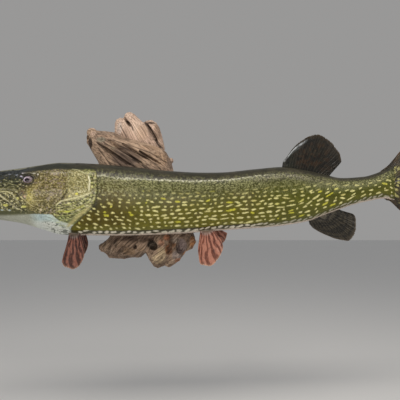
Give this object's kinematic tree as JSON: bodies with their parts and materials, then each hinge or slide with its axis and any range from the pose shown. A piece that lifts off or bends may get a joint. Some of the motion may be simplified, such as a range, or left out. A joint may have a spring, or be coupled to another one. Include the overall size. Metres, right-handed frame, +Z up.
{
  "type": "taxidermy mounted pike",
  "caption": "Mounted northern pike, life size, mouth a little open, fins spread, its flank seated on a knotty driftwood root whose flat sawn back hangs on a wall.",
  "frame": {"origin": "middle of the driftwood's flat sawn back, on the plane that meets the wall", "axes": "+Y out of the back into the wall, +Z up, +X from the fish's head to its tail"},
  "size_m": [1.1056, 0.1957, 0.4011],
  "materials": {
    "head_skin": "olive gold marbled skin under clear gloss varnish",
    "jaw_skin": "olive lip over pale blue white chin, glossy varnish",
    "scaled_skin": "olive green scaled skin with rows of pale yellow spots, white belly, glossy varnish",
    "dark_fin": "dark brown black fin web mottled with olive, amber rim, glossy",
    "red_fin": "orange pink fin web with dark red brown rays, pale rim, glossy",
    "eye_glass": "glass eye, pale lilac silver iris and black pupil",
    "driftwood": "weathered grey brown driftwood, dry and matt, deep furrows along the grain"
  },
  "bodies": {
    "root": {"head": "head_skin", "lower_jaw": "jaw_skin", "gill_cover_l": "head_skin", "gill_cover_r": "head_skin", "eye_l": "eye_glass", "eye_r": "eye_glass", "torso": "scaled_skin", "tail_stem": "scaled_skin", "dorsal_fin": "dark_fin", "anal_fin": "dark_fin", "tail_fin_upper": "dark_fin", "tail_fin_lower": "dark_fin", "pectoral_fin_l": "red_fin", "pectoral_fin_r": "red_fin", "pelvic_fin_l": "red_fin", "pelvic_fin_r": "red_fin", "driftwood": "driftwood"}
  },
  "joints": []
}
